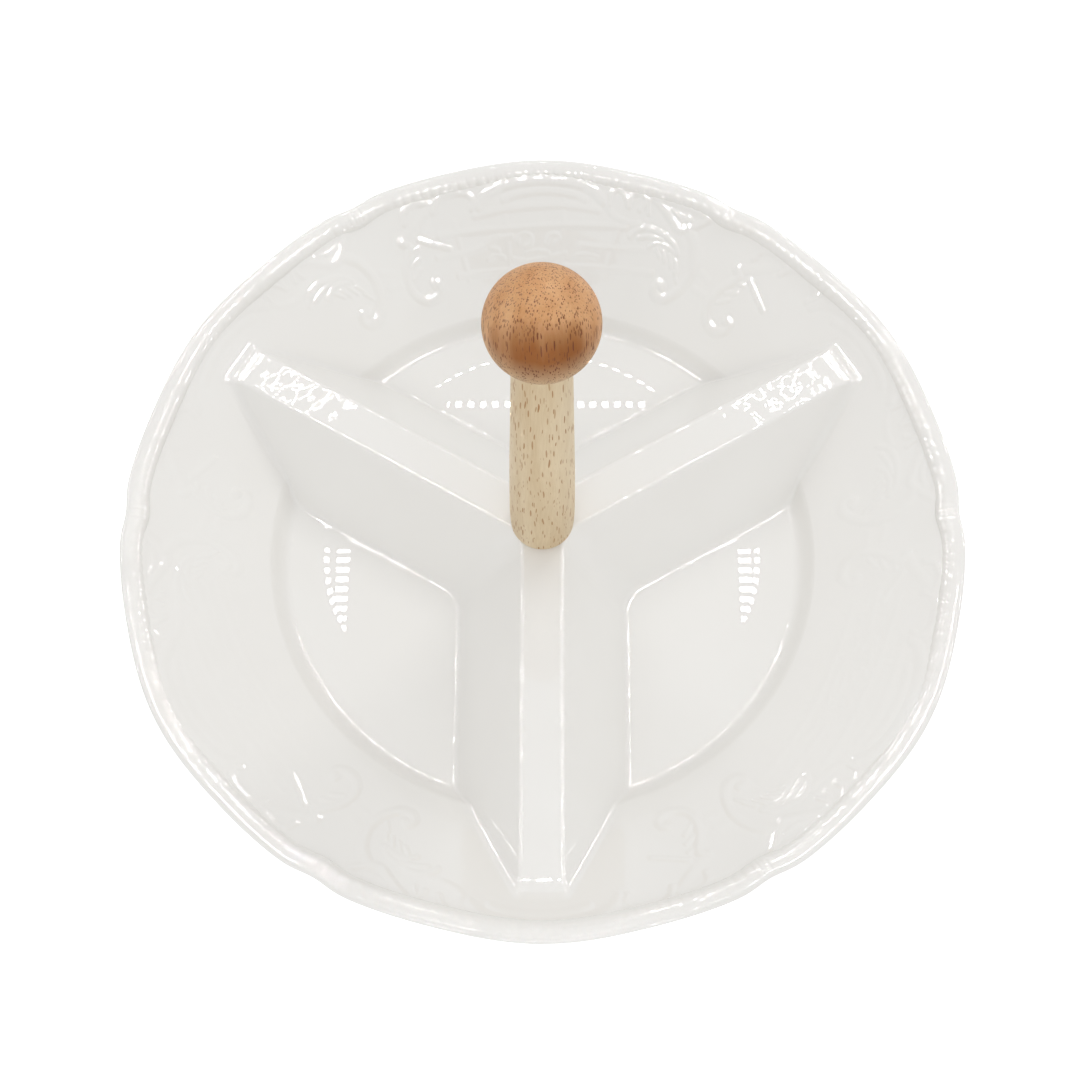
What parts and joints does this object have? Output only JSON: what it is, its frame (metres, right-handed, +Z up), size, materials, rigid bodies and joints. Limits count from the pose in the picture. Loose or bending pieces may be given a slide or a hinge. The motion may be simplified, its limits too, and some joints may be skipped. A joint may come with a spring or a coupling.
{
  "type": "divided serving bowl",
  "caption": "Round divided serving bowl with a lobed rim, wedge-shaped compartments parted by hollow ridges, and an upright turned wooden handle with a ball grip, clamped from below.",
  "frame": {"origin": "centre of the foot ring on the surface the bowl stands on", "axes": "+Z up along the handle; one divider runs along -Y, the others towards +X+Y and -X+Y; +X to the right of someone facing +Y"},
  "size_m": [0.2498, 0.2515, 0.163],
  "materials": {
    "porcelain": "glossy white glaze",
    "stem_wood": "satin lacquer, pale wood with fine brown pores",
    "ball_wood": "satin lacquer, warm brown wood with dark pores",
    "dowel_wood": "bare",
    "brass": "plain",
    "steel": "zinc plated",
    "cushion": "matt"
  },
  "bodies": {
    "dish": {"bowl": "porcelain", "handle_stem": "stem_wood", "handle_ball": "ball_wood", "ball_dowel": "dowel_wood", "thread_insert": "brass"},
    "washers": {"screw_washer": "steel", "cushion_washer": "cushion"},
    "screw": {"clamp_screw": "steel"}
  },
  "joints": [
    {"name": "washers_drop", "type": "slide", "parent": "dish", "child": "washers", "axis": [0, 0, -1], "range_m": [0, 0.0108]},
    {"name": "screw_turn", "type": "hinge", "parent": "washers", "child": "screw", "pos_m": [0, 0, 0.0234], "axis": [0, 0, -1], "range_deg": [0, 4860]}
  ],
  "couplings": [
    {"joint": "screw_turn", "follows": "washers_drop", "rad_per_m": 7854}
  ]
}
